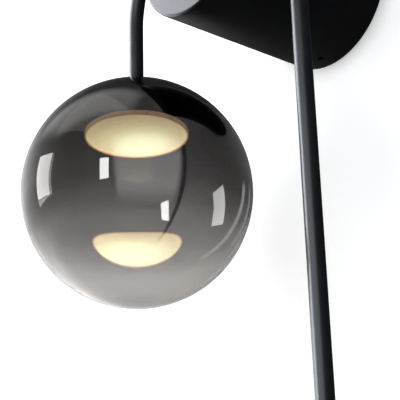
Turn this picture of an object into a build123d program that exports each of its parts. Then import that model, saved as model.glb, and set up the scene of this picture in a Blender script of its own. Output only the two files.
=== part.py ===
from build123d import *
from math import asin, cos, degrees, radians, sin, sqrt
import os

# Globe wall sconce. A smoked glass globe hangs from the short leg of an arched
# tube. The tube lies over a round canopy on the wall, and its long leg hangs
# down on the other side. Sizes are in millimetres, X runs right along the wall,
# Y runs into the wall and Z is up. The origin is the canopy's axis at the wall.

os.makedirs("parts", exist_ok=True)

# ---------------------------------------------------------------- driving sizes

# Canopy, the round cap on the wall
canopy_dia = 102
canopy_length = 122
canopy_wall = 3
canopy_front_wall = 3
canopy_edge_radius = 2

# Arched tube
tube_od = 10
tube_wall = 1.25
arm_gap = 28  # canopy's side to the centre of each leg
arm_setback = 14  # canopy's front face to the tube's centre line
seat_depth = 1.5  # how far the tube is let into the top of the canopy
long_arm_drop = 420  # canopy axis down to the end of the long leg

# Glass globe
globe_dia = 150
short_leg_length = 44.8  # arch down to the globe's cap
glass_wall = 2.2
glass_opening_dia = 70

# Wall plate inside the canopy
plate_thickness = 3
plate_rim_height = 18
plate_rim_wall = 3
wall_screw_spacing = 60
wall_screw_hole_dia = 4.6
cable_hole_dia = 12

# Grub screws that hold the canopy on the plate
grub_screw_dia = 4
grub_screw_depth = 12  # wall to the screws' axes
grub_socket_across = 2
grub_socket_depth = 2
grub_screw_angles = (-90, 30, 150)
grub_screw_recess = 1

# Cable grommet
grommet_bore_dia = 8
grommet_flange_dia = 16
grommet_flange_thickness = 2

# Earth screw and tag
earth_screw_dia = 4
earth_head_dia = 8
earth_head_height = 2.5
earth_place = (-29, 21)
earth_tag_thickness = 0.8
earth_tag_dia = 8.5
earth_tag_tail = 9
earth_tag_width = 5

# Terminal block
block_width = 32
block_height = 14
block_depth = 14
block_bottom = 14  # above the canopy axis
terminal_pitch = 10
terminal_row_gap = 7
terminal_screw_dia = 3
terminal_screw_length = 4
terminal_hole_depth = 6
wire_hole_dia = 2.6
wire_hole_depth = 5
block_screw_dia = 2.5
block_head_dia = 4.2
block_head_height = 1.5

# Driver and the bent shelf under it
driver_width = 40
driver_length = 52
driver_height = 24
driver_setback = 26  # wall to the driver's back face
driver_edge_radius = 2
driver_ear_length = 6
driver_ear_width = 20
driver_ear_thickness = 2.5
driver_screw_dia = 3
driver_screw_tail = 3  # past the shelf
shelf_side_margin = 2
shelf_thickness = 1.5
shelf_drop = 12  # canopy axis down to the underside of the shelf
shelf_foot_height = 20
shelf_front_margin = 2
bracket_screw_dia = 3
bracket_screw_spacing = 30
bracket_screw_drop = 12  # shelf's underside down to the screws
pan_head_dia = 5.6
pan_head_height = 2

# Wires
tail_dia = 2
tail_bend_radius = 3
tail_start_drop = 4.5  # driver's top down to the tails
tail_front_gap = 4.5  # driver's back face to the tails
tail_top_margin = 6  # block's top to the top of the tails
lead_dia = 3
lead_bend_radius = 12
lead_turn_radius = 4  # the tight turn from the stud into the arch
lead_gap = 0.3  # lead to the bore of the stud
lead_plug_length = 7
lead_plug_width = 6
lead_plug_height = 4
lead_plug_gap = 1.6  # plug to the hollow pin above it

# Stud under the arch, and what pulls it down
stud_dia = 6
stud_tail = 1.3  # past the nut
saddle_width = 16
saddle_length = 14
saddle_thickness = 5
stud_nut_across = 10
stud_nut_height = 5

# End plug of the long leg
plug_head_height = 3
plug_edge_radius = 2
plug_spigot_length = 8

# Hollow pin in the foot of the short leg, its washer and nut
nipple_wall = 1.6
nipple_engagement = 10
nipple_below_nut = 0.6
nipple_washer_margin = 1  # past the flats of the nut
nipple_washer_thickness = 0.8
nipple_nut_across = 12
nipple_nut_height = 4

# Cap that fills the opening in the glass, flush with it, and the ring round it
cap_thickness = 2
cap_landing_margin = 2  # flat round the foot of the tube
cap_hub_margin = 2  # hub round the flat
cap_hub_depth = 5
cap_skirt_wall = 1.5
gasket_thickness = 0.8  # cap's edge to the edge of the opening
gasket_recess = 0.3  # below the outside of the glass

# Spring clips that hold the glass from inside
clip_count = 3
clip_thickness = 0.8
clip_width = 8
clip_overlap = 3.5  # clip's tip beyond the opening
clip_gap = 0.3  # under the glass
clip_screw_inset = 9  # opening's edge in to the screws
clip_tail = 4  # clip's inner end past the screw
clip_screw_dia = 3
clip_screw_end_gap = 1.8  # screw's end to the heat sink's base
clip_head_dia = 5.4
clip_head_height = 2

# Lamp head
housing_gap = 1.1  # to the opening in the glass, so that the head goes in
housing_wall = 1.5
housing_top_wall = 3
sink_gap = 0.1
sink_base_thickness = 3
fin_count = 12
fin_thickness = 1.2
fin_bore_margin = 2.5
fin_edge_gap = 1
sink_bore_margin = 2.5  # round the washer
boss_dia = 7
board_edge_gap = 2.8
board_thickness = 1.6
chip_size = 2.8
chip_height = 0.8
chip_inner_reach = 8
chip_middle_reach = 15
chip_edge_gap = 3  # outer chips to the board's edge
light_gap = 2.4  # board to diffuser
board_screw_dia = 2.5
board_screw_bite = 2.4  # into the heat sink
board_head_dia = 4.4
board_head_height = 1.4
board_screw_inset = 8.5  # board's edge in to the screws
ring_lip = 0.5  # beyond the housing
ring_wall = 1.1
ring_height = 3
ring_edge_radius = 0.3
diffuser_recess = 1

# Fits
slip_gap = 0.1  # between a piece and the hole it goes through
thread_gap = 0.05  # round a screw in its thread
plate_gap = 0.4  # plate's rim to the canopy

# -------------------------------------------------------------- derived places

canopy_radius = canopy_dia / 2
canopy_inner_radius = canopy_radius - canopy_wall
plate_radius = canopy_inner_radius - plate_gap

tube_radius = tube_od / 2
tube_bore_radius = tube_radius - tube_wall
arm_reach = canopy_radius + arm_gap  # canopy axis to each leg, and the arch's radius
arm_depth = canopy_length - arm_setback
arch_top = canopy_radius + tube_radius - seat_depth
arch_centre_height = arch_top - arm_reach
long_arm_end = -long_arm_drop + plug_head_height

globe_radius = globe_dia / 2
glass_inner_radius = globe_radius - glass_wall
opening_radius = glass_opening_dia / 2
cap_inner_radius = globe_radius - cap_thickness
cap_edge_radius = opening_radius - gasket_thickness
landing_radius = tube_radius + cap_landing_margin
hub_radius = landing_radius + cap_hub_margin
landing_height = sqrt(globe_radius**2 - landing_radius**2)
tube_foot = arch_centre_height - short_leg_length
globe_drop = landing_height - tube_foot  # canopy axis down to the globe's centre
globe_centre = (-arm_reach, -arm_depth, -globe_drop)

# Heights in the lamp head, measured from the globe's centre. The clips sit just
# under the glass, and each piece hangs from the one above it.
clip_reach = opening_radius + clip_overlap
clip_top = sqrt(glass_inner_radius**2 - clip_reach**2) - clip_gap
housing_top = clip_top - clip_thickness
sink_top = housing_top - housing_top_wall
nipple_nut_top = sink_top - nipple_washer_thickness
nipple_bottom = nipple_nut_top - nipple_nut_height - nipple_below_nut
board_top = nipple_bottom - lead_plug_gap - lead_plug_height
sink_base_top = board_top + sink_base_thickness
fin_height = sink_top - sink_base_top
board_bottom = board_top - board_thickness
housing_bottom = board_bottom - light_gap
ring_bottom = housing_bottom - ring_height

# Reaches in the lamp head, measured from its axis
housing_radius = opening_radius - housing_gap
sink_radius = housing_radius - housing_wall - sink_gap
board_radius = sink_radius - board_edge_gap
clip_screw_reach = opening_radius - clip_screw_inset
board_screw_reach = board_radius - board_screw_inset
nipple_radius = tube_bore_radius - thread_gap
nipple_hole_radius = nipple_radius + slip_gap
nipple_washer_radius = nipple_nut_across / 2 + nipple_washer_margin
ring_radius = housing_radius + ring_lip

# The arm's plane, and the head's plane and axis, through the globe's centre
arm_plane = Plane.XZ.offset(arm_depth)
head_profile = Plane(origin=globe_centre, x_dir=(1, 0, 0), z_dir=(0, -1, 0))
head_axis = Axis(globe_centre, (0, 0, 1))


def head_plane(height):
    """A level plane across the lamp head, at a height above the globe's centre."""
    return Plane(origin=globe_centre).offset(height)


def canopy_spoke(angle, reach):
    """A plane square to a line from the canopy's axis, where the grub screws sit."""
    out = Vector(cos(radians(angle)), 0, sin(radians(angle)))
    place = out * reach + Vector(0, -grub_screw_depth, 0)
    return Plane(origin=place, x_dir=(0, 1, 0), z_dir=out)


# ------------------------------------------------------------------- wall plate

bracket_screw_height = -shelf_drop - bracket_screw_drop
block_middle = block_bottom + block_height / 2

with BuildPart() as wall_plate:
    with BuildSketch(Plane.XZ):
        Circle(plate_radius)
    extrude(amount=plate_rim_height)
    with BuildSketch(Plane.XZ.offset(plate_thickness)):
        Circle(plate_radius - plate_rim_wall)
    extrude(amount=plate_rim_height - plate_thickness, mode=Mode.SUBTRACT)
    with BuildSketch(Plane.XZ):
        Circle(cable_hole_dia / 2)
        with GridLocations(wall_screw_spacing, 0, 2, 1):
            Circle(wall_screw_hole_dia / 2)
        with Locations(earth_place):
            Circle(earth_screw_dia / 2 + thread_gap)
        with Locations((0, bracket_screw_height)):
            with GridLocations(bracket_screw_spacing, 0, 2, 1):
                Circle(bracket_screw_dia / 2 + thread_gap)
        with Locations((0, block_middle)):
            with GridLocations(terminal_pitch, 0, 2, 1):
                Circle(block_screw_dia / 2 + thread_gap)
    extrude(amount=plate_thickness, mode=Mode.SUBTRACT)
    for angle in grub_screw_angles:
        with BuildSketch(canopy_spoke(angle, plate_radius - plate_rim_wall - 1)):
            Circle(grub_screw_dia / 2 + thread_gap)
        extrude(amount=plate_rim_wall + 2, mode=Mode.SUBTRACT)
wall_plate.part.label = "wall_plate"
export_step(wall_plate.part, "parts/wall_plate.step")

with BuildPart() as cable_grommet:
    with BuildSketch(Plane.XZ):
        Circle(cable_hole_dia / 2)
    extrude(amount=plate_thickness)
    with BuildSketch(Plane.XZ.offset(plate_thickness)):
        Circle(grommet_flange_dia / 2)
    extrude(amount=grommet_flange_thickness)
    with BuildSketch(Plane.XZ):
        Circle(grommet_bore_dia / 2)
    extrude(amount=plate_thickness + grommet_flange_thickness, mode=Mode.SUBTRACT)
cable_grommet.part.label = "cable_grommet"
export_step(cable_grommet.part, "parts/cable_grommet.step")

# ------------------------------------------------------------ earth screw and tag

with BuildPart() as earth_tag:
    with BuildSketch(Plane.XZ.offset(plate_thickness)) as tag_outline:
        with Locations(earth_place):
            Circle(earth_tag_dia / 2)
            Rectangle(earth_tag_width, earth_tag_tail, align=(Align.CENTER, Align.MAX))
            Circle(earth_screw_dia / 2 + slip_gap, mode=Mode.SUBTRACT)
    extrude(amount=earth_tag_thickness)
earth_tag.part.label = "earth_tag"
export_step(earth_tag.part, "parts/earth_tag.step")

with BuildPart() as earth_screw:
    with BuildSketch(Plane.XZ):
        with Locations(earth_place):
            Circle(earth_screw_dia / 2)
    extrude(amount=plate_thickness + earth_tag_thickness)
    with BuildSketch(Plane.XZ.offset(plate_thickness + earth_tag_thickness)):
        with Locations(earth_place):
            Circle(earth_head_dia / 2)
    extrude(amount=earth_head_height)
earth_screw.part.label = "earth_screw"
export_step(earth_screw.part, "parts/earth_screw.step")

# ---------------------------------------------------------------- terminal block

block_front = plate_thickness + block_depth

with BuildPart() as terminal_block:
    with BuildSketch(Plane.XZ.offset(plate_thickness)):
        with Locations((0, block_middle)):
            Rectangle(block_width, block_height)
    extrude(amount=block_depth)
    with BuildSketch(Plane.XZ.offset(block_front)):
        with Locations((0, block_middle)):
            with GridLocations(terminal_pitch, terminal_row_gap, 3, 2):
                Circle(terminal_screw_dia / 2 + slip_gap)
    extrude(amount=-terminal_hole_depth, mode=Mode.SUBTRACT)
    with BuildSketch(Plane.XZ.offset(plate_thickness)):
        with Locations((0, block_middle)):
            with GridLocations(terminal_pitch, 0, 2, 1):
                Circle(block_screw_dia / 2 + slip_gap)
    extrude(amount=block_depth, mode=Mode.SUBTRACT)
    for height, inward in ((block_bottom, 1), (block_bottom + block_height, -1)):
        with BuildSketch(Plane.XY.offset(height)):
            with Locations((0, -plate_thickness - block_depth / 2)):
                with GridLocations(terminal_pitch, 0, 3, 1):
                    Circle(wire_hole_dia / 2)
        extrude(amount=inward * wire_hole_depth, mode=Mode.SUBTRACT)
terminal_block.part.label = "terminal_block"
export_step(terminal_block.part, "parts/terminal_block.step")

with BuildPart() as terminal_screws:
    with BuildSketch(Plane.XZ.offset(block_front - terminal_hole_depth)):
        with Locations((0, block_middle)):
            with GridLocations(terminal_pitch, terminal_row_gap, 3, 2):
                Circle(terminal_screw_dia / 2)
    extrude(amount=terminal_screw_length)
terminal_screws.part.label = "terminal_screws"
export_step(terminal_screws.part, "parts/terminal_screws.step")

with BuildPart() as block_screws:
    with BuildSketch(Plane.XZ):
        with Locations((0, block_middle)):
            with GridLocations(terminal_pitch, 0, 2, 1):
                Circle(block_screw_dia / 2)
    extrude(amount=block_front)
    with BuildSketch(Plane.XZ.offset(block_front)):
        with Locations((0, block_middle)):
            with GridLocations(terminal_pitch, 0, 2, 1):
                Circle(block_head_dia / 2)
    extrude(amount=block_head_height)
block_screws.part.label = "block_screws"
export_step(block_screws.part, "parts/block_screws.step")

# ------------------------------------------------------------- driver and shelf

driver_front = driver_setback + driver_length
shelf_top = shelf_thickness - shelf_drop
shelf_width = driver_width + 2 * shelf_side_margin
driver_middle = shelf_top + driver_height / 2
shelf_front = driver_front + driver_ear_length + shelf_front_margin
ear_places = (driver_setback - driver_ear_length / 2, driver_front + driver_ear_length / 2)

with BuildPart() as driver_bracket:
    with BuildSketch(Plane.XZ.offset(plate_thickness)):
        with Locations((0, -shelf_drop)):
            Rectangle(shelf_width, shelf_thickness, align=(Align.CENTER, Align.MIN))
    extrude(amount=shelf_front - plate_thickness)
    with BuildSketch(Plane.XZ.offset(plate_thickness)):
        with Locations((0, -shelf_drop)):
            Rectangle(shelf_width, shelf_foot_height, align=(Align.CENTER, Align.MAX))
    extrude(amount=shelf_thickness)
    with BuildSketch(Plane.XZ.offset(plate_thickness)):
        with Locations((0, bracket_screw_height)):
            with GridLocations(bracket_screw_spacing, 0, 2, 1):
                Circle(bracket_screw_dia / 2 + slip_gap)
    extrude(amount=shelf_thickness, mode=Mode.SUBTRACT)
    with BuildSketch(Plane.XY.offset(shelf_top)):
        with Locations([(0, -place) for place in ear_places]):
            Circle(driver_screw_dia / 2 + thread_gap)
    extrude(amount=-shelf_thickness, mode=Mode.SUBTRACT)
driver_bracket.part.label = "driver_bracket"
export_step(driver_bracket.part, "parts/driver_bracket.step")

with BuildPart() as bracket_screws:
    with BuildSketch(Plane.XZ):
        with Locations((0, bracket_screw_height)):
            with GridLocations(bracket_screw_spacing, 0, 2, 1):
                Circle(bracket_screw_dia / 2)
    extrude(amount=plate_thickness + shelf_thickness)
    with BuildSketch(Plane.XZ.offset(plate_thickness + shelf_thickness)):
        with Locations((0, bracket_screw_height)):
            with GridLocations(bracket_screw_spacing, 0, 2, 1):
                Circle(pan_head_dia / 2)
    extrude(amount=pan_head_height)
bracket_screws.part.label = "bracket_screws"
export_step(bracket_screws.part, "parts/bracket_screws.step")

with BuildPart() as driver:
    with BuildSketch(Plane.XZ.offset(driver_setback)):
        with Locations((0, shelf_top)):
            Rectangle(driver_width, driver_height, align=(Align.CENTER, Align.MIN))
    extrude(amount=driver_length)
    top_edges = driver.faces().sort_by(Axis.Z)[-1].edges()
    upright_edges = driver.edges().filter_by(Axis.Z)
    fillet(top_edges + upright_edges, driver_edge_radius)
    ear_span = driver_length + 2 * driver_ear_length
    with BuildSketch(Plane.XY.offset(shelf_top)):
        with Locations((0, -driver_setback - driver_length / 2)):
            Rectangle(driver_ear_width, ear_span)
        with Locations([(0, -place) for place in ear_places]):
            Circle(driver_screw_dia / 2 + slip_gap, mode=Mode.SUBTRACT)
    extrude(amount=driver_ear_thickness)
driver.part.label = "driver"
export_step(driver.part, "parts/driver.step")

with BuildPart() as driver_screws:
    ear_top = shelf_top + driver_ear_thickness
    with BuildSketch(Plane.XY.offset(ear_top)):
        with Locations([(0, -place) for place in ear_places]):
            Circle(driver_screw_dia / 2)
    extrude(amount=-driver_ear_thickness - shelf_thickness - driver_screw_tail)
    with BuildSketch(Plane.XY.offset(ear_top)):
        with Locations([(0, -place) for place in ear_places]):
            Circle(pan_head_dia / 2)
    extrude(amount=pan_head_height)
driver_screws.part.label = "driver_screws"
export_step(driver_screws.part, "parts/driver_screws.step")

# Two tails go from the driver's back face, up in front of the terminal block
# and down into its upper holes.
tail_start_height = shelf_top + driver_height - tail_start_drop
tail_front = driver_setback - tail_front_gap
tail_top = block_bottom + block_height + tail_top_margin
tail_end = block_bottom + block_height - wire_hole_depth
block_wire_depth = plate_thickness + block_depth / 2

with BuildPart() as driver_tails:
    for side in (-terminal_pitch, 0):
        with BuildLine() as tail_path:
            FilletPolyline(
                (side, -driver_setback, tail_start_height),
                (side, -tail_front, tail_start_height),
                (side, -tail_front, tail_top),
                (side, -block_wire_depth, tail_top),
                (side, -block_wire_depth, tail_end),
                radius=tail_bend_radius,
            )
        with BuildSketch(Plane(origin=tail_path.line @ 0, z_dir=tail_path.line % 0)):
            Circle(tail_dia / 2)
        sweep(path=tail_path.line)
driver_tails.part.label = "driver_tails"
export_step(driver_tails.part, "parts/driver_tails.step")

# ------------------------------------------------------------------------ canopy

stud_hole_radius = stud_dia / 2 + slip_gap

with BuildPart() as canopy_shell:
    with BuildSketch(Plane.XZ):
        Circle(canopy_radius)
    extrude(amount=canopy_length)
    front_face = canopy_shell.faces().sort_by(Axis.Y)[0]
    fillet(front_face.edges(), canopy_edge_radius)
    with BuildSketch(Plane.XZ):
        Circle(canopy_inner_radius)
    extrude(amount=canopy_length - canopy_front_wall, mode=Mode.SUBTRACT)
    # Seat for the arch: the tube's own ring, a little larger
    with Locations((0, -arm_depth, arch_centre_height)):
        Torus(arm_reach, tube_radius + slip_gap, rotation=(90, 0, 0), mode=Mode.SUBTRACT)
    with BuildSketch(Plane.XY.offset(canopy_inner_radius - canopy_wall)):
        with Locations((0, -arm_depth)):
            Circle(stud_hole_radius)
    extrude(amount=2 * canopy_wall, mode=Mode.SUBTRACT)
    for angle in grub_screw_angles:
        with BuildSketch(canopy_spoke(angle, canopy_inner_radius - 1)):
            Circle(grub_screw_dia / 2 + slip_gap)
        extrude(amount=canopy_wall + 2, mode=Mode.SUBTRACT)
canopy_shell.part.label = "canopy_shell"
export_step(canopy_shell.part, "parts/canopy_shell.step")

with BuildPart() as grub_screws:
    screw_end = canopy_radius - grub_screw_recess
    screw_start = plate_radius - plate_rim_wall
    for angle in grub_screw_angles:
        with BuildSketch(canopy_spoke(angle, screw_end)):
            Circle(grub_screw_dia / 2)
        extrude(amount=screw_start - screw_end)
        with BuildSketch(canopy_spoke(angle, screw_end)):
            RegularPolygon(grub_socket_across / 2, 6, major_radius=False)
        extrude(amount=-grub_socket_depth, mode=Mode.SUBTRACT)
grub_screws.part.label = "grub_screws"
export_step(grub_screws.part, "parts/grub_screws.step")

# --------------------------------------------------------------------------- arm

with BuildPart() as arm_tube:
    with BuildLine(arm_plane) as arm_path:
        Line((-arm_reach, tube_foot), (-arm_reach, arch_centre_height))
        CenterArc((0, arch_centre_height), arm_reach, 180, -180)
        Line((arm_reach, arch_centre_height), (arm_reach, long_arm_end))
    with BuildSketch(Plane(origin=(-arm_reach, -arm_depth, tube_foot))):
        Circle(tube_radius)
        Circle(tube_bore_radius, mode=Mode.SUBTRACT)
    sweep(path=arm_path.line)
    with BuildSketch(Plane.XY.offset(arch_top)):
        with Locations((0, -arm_depth)):
            Circle(stud_dia / 2 + thread_gap)
    extrude(amount=-tube_od, mode=Mode.SUBTRACT)
arm_tube.part.label = "arm_tube"
export_step(arm_tube.part, "parts/arm_tube.step")

# The stud's upper end stays inside the tube's wall.
stud_top = arch_top - tube_bore_radius - thread_gap
saddle_bottom = canopy_inner_radius - saddle_thickness
stud_bottom = saddle_bottom - stud_nut_height - stud_tail

with BuildPart() as arm_stud:
    with BuildSketch(Plane.XY.offset(stud_top)):
        with Locations((0, -arm_depth)):
            Circle(stud_dia / 2)
            Circle(lead_dia / 2 + lead_gap, mode=Mode.SUBTRACT)
    extrude(amount=stud_bottom - stud_top)
arm_stud.part.label = "arm_stud"
export_step(arm_stud.part, "parts/arm_stud.step")

with BuildPart() as saddle_washer:
    with BuildSketch(Plane.XZ.offset(arm_depth - saddle_length / 2)):
        with Locations((0, saddle_bottom)):
            Rectangle(saddle_width, saddle_thickness, align=(Align.CENTER, Align.MIN))
        Circle(canopy_inner_radius - thread_gap, mode=Mode.INTERSECT)
    extrude(amount=saddle_length)
    with BuildSketch(Plane.XY.offset(saddle_bottom)):
        with Locations((0, -arm_depth)):
            Circle(stud_hole_radius)
    extrude(amount=saddle_thickness, mode=Mode.SUBTRACT)
saddle_washer.part.label = "saddle_washer"
export_step(saddle_washer.part, "parts/saddle_washer.step")

with BuildPart() as stud_nut:
    with BuildSketch(Plane.XY.offset(saddle_bottom)):
        with Locations((0, -arm_depth)):
            RegularPolygon(stud_nut_across / 2, 6, major_radius=False)
            Circle(stud_dia / 2 + thread_gap, mode=Mode.SUBTRACT)
    extrude(amount=-stud_nut_height)
stud_nut.part.label = "stud_nut"
export_step(stud_nut.part, "parts/stud_nut.step")

with BuildPart() as end_plug:
    with BuildSketch(Plane.XY.offset(-long_arm_drop)):
        with Locations((arm_reach, -arm_depth)):
            Circle(tube_radius)
    extrude(amount=plug_head_height)
    fillet(end_plug.edges().sort_by(Axis.Z)[0], plug_edge_radius)
    with BuildSketch(Plane.XY.offset(long_arm_end)):
        with Locations((arm_reach, -arm_depth)):
            Circle(tube_bore_radius - thread_gap)
    extrude(amount=plug_spigot_length)
end_plug.part.label = "end_plug"
export_step(end_plug.part, "parts/end_plug.step")

# The lead runs forward from the driver, up through the stud, turns tightly into
# the arch and follows it down the short leg to the plug on the LED board.
lead_end = board_top + lead_plug_height - globe_drop
turn_reach = arm_reach - lead_turn_radius  # arch's centre to the turn's centre
turn_rise = sqrt(turn_reach**2 - lead_turn_radius**2)
turn_centre_height = arch_centre_height + turn_rise
turn_angle = degrees(radians(90) + asin(lead_turn_radius / turn_reach))
turn_exit = (
    -lead_turn_radius * arm_reach / turn_reach,
    arch_centre_height + turn_rise * arm_reach / turn_reach,
)
turn_middle = (
    lead_turn_radius * (cos(radians(turn_angle / 2)) - 1),
    turn_centre_height + lead_turn_radius * sin(radians(turn_angle / 2)),
)
arch_middle_angle = radians((turn_angle + 180) / 2)
arch_middle = (
    arm_reach * cos(arch_middle_angle),
    arch_centre_height + arm_reach * sin(arch_middle_angle),
)

with BuildPart() as led_lead:
    with BuildLine() as lead_path:
        FilletPolyline(
            (0, -driver_front, driver_middle),
            (0, -arm_depth, driver_middle),
            (0, -arm_depth, turn_centre_height),
            radius=lead_bend_radius,
        )
        ThreePointArc(
            (0, -arm_depth, turn_centre_height),
            (turn_middle[0], -arm_depth, turn_middle[1]),
            (turn_exit[0], -arm_depth, turn_exit[1]),
        )
        ThreePointArc(
            (turn_exit[0], -arm_depth, turn_exit[1]),
            (arch_middle[0], -arm_depth, arch_middle[1]),
            (-arm_reach, -arm_depth, arch_centre_height),
        )
        Line((-arm_reach, -arm_depth, arch_centre_height), (-arm_reach, -arm_depth, lead_end))
    with BuildSketch(Plane.XZ.offset(driver_front)):
        with Locations((0, driver_middle)):
            Circle(lead_dia / 2)
    sweep(path=lead_path.line)
led_lead.part.label = "led_lead"
export_step(led_lead.part, "parts/led_lead.step")

with BuildPart() as lead_plug:
    with BuildSketch(head_plane(board_top)):
        Rectangle(lead_plug_length, lead_plug_width)
    extrude(amount=lead_plug_height)
lead_plug.part.label = "lead_plug"
export_step(lead_plug.part, "parts/lead_plug.step")

# ------------------------------------------------------------------- globe's cap

cap_middle_radius = globe_radius - cap_thickness / 2
skirt_top = sqrt(cap_middle_radius**2 - cap_edge_radius**2)
hub_top = sqrt(cap_middle_radius**2 - hub_radius**2)

with BuildPart() as globe_cap:
    with BuildSketch(head_profile):
        Circle(globe_radius)
        Circle(cap_inner_radius, mode=Mode.SUBTRACT)
        with Locations((0, clip_top)):
            Rectangle(cap_edge_radius, globe_radius, align=(Align.MIN, Align.MIN), mode=Mode.INTERSECT)
        with Locations((cap_edge_radius, clip_top)):
            Rectangle(cap_skirt_wall, skirt_top - clip_top, align=(Align.MAX, Align.MIN))
        with Locations((0, hub_top)):
            Rectangle(hub_radius, cap_hub_depth, align=(Align.MIN, Align.MAX))
        with Locations((0, landing_height)):
            Rectangle(hub_radius, globe_radius, align=(Align.MIN, Align.MIN), mode=Mode.SUBTRACT)
        Rectangle(nipple_hole_radius, 2 * globe_radius, align=(Align.MIN, Align.CENTER), mode=Mode.SUBTRACT)
    revolve(axis=head_axis)
globe_cap.part.label = "globe_cap"
export_step(globe_cap.part, "parts/globe_cap.step")

with BuildPart() as cap_gasket:
    with BuildSketch(head_profile):
        Circle(globe_radius - gasket_recess)
        Circle(glass_inner_radius, mode=Mode.SUBTRACT)
        with Locations((cap_edge_radius, 0)):
            Rectangle(gasket_thickness, globe_radius, align=(Align.MIN, Align.MIN), mode=Mode.INTERSECT)
    revolve(axis=head_axis)
cap_gasket.part.label = "cap_gasket"
export_step(cap_gasket.part, "parts/cap_gasket.step")

with BuildPart() as arm_nipple:
    with BuildSketch(head_plane(nipple_bottom)):
        Circle(nipple_radius)
        Circle(nipple_radius - nipple_wall, mode=Mode.SUBTRACT)
    extrude(amount=landing_height + nipple_engagement - nipple_bottom)
arm_nipple.part.label = "arm_nipple"
export_step(arm_nipple.part, "parts/arm_nipple.step")

with BuildPart() as nipple_washer:
    with BuildSketch(head_plane(nipple_nut_top)):
        Circle(nipple_washer_radius)
        Circle(nipple_hole_radius, mode=Mode.SUBTRACT)
    extrude(amount=nipple_washer_thickness)
nipple_washer.part.label = "nipple_washer"
export_step(nipple_washer.part, "parts/nipple_washer.step")

with BuildPart() as nipple_nut:
    with BuildSketch(head_plane(nipple_nut_top)):
        RegularPolygon(nipple_nut_across / 2, 6, major_radius=False)
        Circle(nipple_radius + thread_gap, mode=Mode.SUBTRACT)
    extrude(amount=-nipple_nut_height)
nipple_nut.part.label = "nipple_nut"
export_step(nipple_nut.part, "parts/nipple_nut.step")

# ------------------------------------------------------------------------- glass

with BuildPart() as glass_globe:
    with Locations(globe_centre):
        Sphere(globe_radius)
        Sphere(glass_inner_radius, mode=Mode.SUBTRACT)
    with BuildSketch(head_plane(0)):
        Circle(opening_radius)
    extrude(amount=globe_radius, mode=Mode.SUBTRACT)
glass_globe.part.label = "glass_globe"
export_step(glass_globe.part, "parts/glass_globe.step")

with BuildPart() as glass_clips:
    clip_inner_reach = clip_screw_reach - clip_tail
    clip_length = clip_reach - clip_inner_reach
    with BuildSketch(head_plane(housing_top)):
        with PolarLocations((clip_reach + clip_inner_reach) / 2, clip_count):
            Rectangle(clip_length, clip_width)
        with PolarLocations(clip_screw_reach, clip_count):
            Circle(clip_screw_dia / 2 + slip_gap, mode=Mode.SUBTRACT)
    extrude(amount=clip_thickness)
glass_clips.part.label = "glass_clips"
export_step(glass_clips.part, "parts/glass_clips.step")

with BuildPart() as clip_screws:
    with BuildSketch(head_plane(clip_top)):
        with PolarLocations(clip_screw_reach, clip_count):
            Circle(clip_screw_dia / 2)
    extrude(amount=sink_base_top + clip_screw_end_gap - clip_top)
    with BuildSketch(head_plane(clip_top)):
        with PolarLocations(clip_screw_reach, clip_count):
            Circle(clip_head_dia / 2)
    extrude(amount=clip_head_height)
clip_screws.part.label = "clip_screws"
export_step(clip_screws.part, "parts/clip_screws.step")

# --------------------------------------------------------------------- lamp head

with BuildPart() as led_housing:
    with BuildSketch(head_plane(housing_bottom)):
        Circle(housing_radius)
    extrude(amount=housing_top - housing_bottom)
    with BuildSketch(head_plane(housing_bottom)):
        Circle(housing_radius - housing_wall)
    extrude(amount=sink_top - housing_bottom, mode=Mode.SUBTRACT)
    with BuildSketch(head_plane(sink_top)):
        Circle(nipple_hole_radius)
        with PolarLocations(clip_screw_reach, clip_count):
            Circle(clip_screw_dia / 2 + slip_gap)
    extrude(amount=housing_top_wall, mode=Mode.SUBTRACT)
led_housing.part.label = "led_housing"
export_step(led_housing.part, "parts/led_housing.step")

with BuildPart() as heat_sink:
    with BuildSketch(head_plane(board_top)):
        Circle(sink_radius)
    extrude(amount=sink_base_thickness)
    sink_bore_radius = nipple_washer_radius + sink_bore_margin
    fin_inner_reach = sink_bore_radius + fin_bore_margin
    fin_length = sink_radius - fin_edge_gap - fin_inner_reach
    fin_middle_reach = fin_inner_reach + fin_length / 2
    with BuildSketch(head_plane(sink_base_top)):
        with PolarLocations(fin_middle_reach, fin_count, start_angle=180 / fin_count):
            Rectangle(fin_length, fin_thickness)
        with PolarLocations(clip_screw_reach, clip_count):
            Circle(boss_dia / 2)
    extrude(amount=fin_height)
    with BuildSketch(head_plane(board_top)):
        Circle(sink_bore_radius)
        with PolarLocations(board_screw_reach, clip_count, start_angle=180 / clip_count):
            Circle(board_screw_dia / 2 + thread_gap)
    extrude(amount=sink_base_thickness, mode=Mode.SUBTRACT)
    with BuildSketch(head_plane(sink_top)):
        with PolarLocations(clip_screw_reach, clip_count):
            Circle(clip_screw_dia / 2 + thread_gap)
    extrude(amount=-fin_height, mode=Mode.SUBTRACT)
heat_sink.part.label = "heat_sink"
export_step(heat_sink.part, "parts/heat_sink.step")

with BuildPart() as led_board:
    with BuildSketch(head_plane(board_bottom)):
        Circle(board_radius)
        with PolarLocations(board_screw_reach, clip_count, start_angle=180 / clip_count):
            Circle(board_screw_dia / 2 + slip_gap, mode=Mode.SUBTRACT)
    extrude(amount=board_thickness)
led_board.part.label = "led_board"
export_step(led_board.part, "parts/led_board.step")

with BuildPart() as led_chips:
    with BuildSketch(head_plane(board_bottom)):
        chip_outer_reach = board_radius - chip_edge_gap
        for reach, count in ((chip_inner_reach, 6), (chip_middle_reach, 12), (chip_outer_reach, 18)):
            with PolarLocations(reach, count):
                Rectangle(chip_size, chip_size)
    extrude(amount=-chip_height)
led_chips.part.label = "led_chips"
export_step(led_chips.part, "parts/led_chips.step")

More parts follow.
